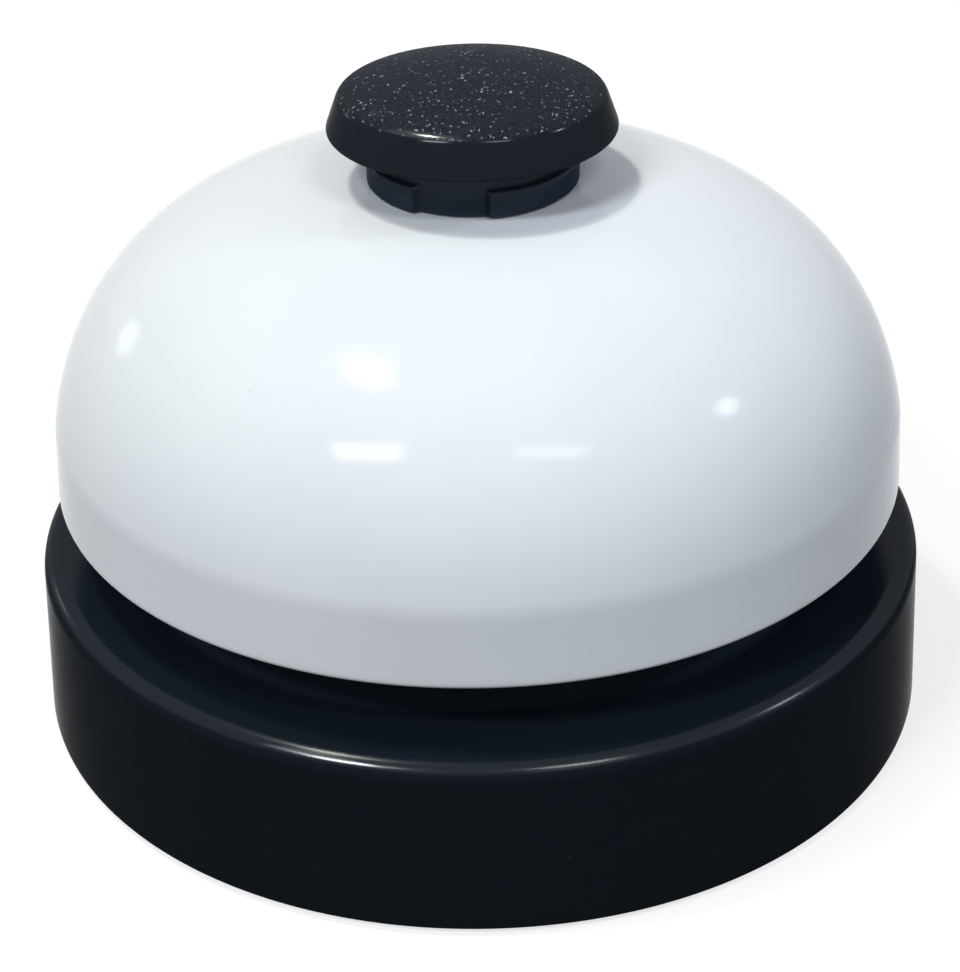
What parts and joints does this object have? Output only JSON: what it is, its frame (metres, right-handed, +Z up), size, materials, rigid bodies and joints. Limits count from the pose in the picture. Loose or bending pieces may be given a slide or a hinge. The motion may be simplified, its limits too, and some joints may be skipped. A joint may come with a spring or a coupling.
{
  "type": "service bell",
  "caption": "Counter service bell: round moulded base, domed steel gong and a push button on top that swings a striker against the gong's inside wall.",
  "frame": {"origin": "on the ground under the middle of the base", "axes": "+Z up along the plunger, +X towards the hammer, -Y towards the viewer of the picture"},
  "size_m": [0.085, 0.085, 0.0613],
  "materials": {
    "base_plastic": "moulded, glossy, black",
    "cover_plastic": "moulded, satin, black",
    "collar_plastic": "moulded, semi-gloss, black",
    "button_plastic": "moulded, grained top with a smooth rim, black",
    "white_paint": "gloss white enamel on steel",
    "zinc_steel": "zinc plated",
    "bright_steel": "turned, bright",
    "spring_steel": "hard drawn wire and strip",
    "foot_rubber": "moulded rubber",
    "red_fibre": "vulcanised fibre",
    "grey_felt": "pressed felt"
  },
  "bodies": {
    "base": {"base_housing": "base_plastic", "bottom_cover": "cover_plastic", "rubber_foot_1": "foot_rubber", "rubber_foot_2": "foot_rubber", "rubber_foot_3": "foot_rubber", "rubber_foot_4": "foot_rubber", "cover_screw_1": "zinc_steel", "cover_screw_2": "zinc_steel", "cover_screw_3": "zinc_steel", "striker_bracket": "zinc_steel", "bracket_screw_1": "zinc_steel", "bracket_screw_2": "zinc_steel", "bracket_screw_3": "zinc_steel", "bracket_screw_4": "zinc_steel", "support_post": "bright_steel", "post_nut": "zinc_steel", "gong_seat_washer": "red_fibre", "gong": "white_paint", "collar_nut": "collar_plastic", "return_spring": "spring_steel", "pivot_pin": "bright_steel", "pivot_clip": "spring_steel", "hammer_pad": "grey_felt"},
    "plunger": {"push_button": "button_plastic", "plunger_rod": "bright_steel", "spring_washer": "zinc_steel", "retaining_clip": "spring_steel"},
    "striker": {"striker_arm": "zinc_steel", "hammer_head": "bright_steel"}
  },
  "joints": [
    {"name": "button_press", "type": "slide", "parent": "base", "child": "plunger", "axis": [0, 0, -1], "range_m": [0, 0.0035], "stiffness_N_per_m": 800, "springref_m": -0.002, "deforming": ["return_spring"]},
    {"name": "striker_swing", "type": "hinge", "parent": "base", "child": "striker", "pos_m": [0.008, 0, 0.03355], "axis": [0, -1, 0], "range_deg": [0, 25.07]}
  ],
  "couplings": [
    {"joint": "striker_swing", "follows": "button_press", "rad_per_m": 125}
  ]
}
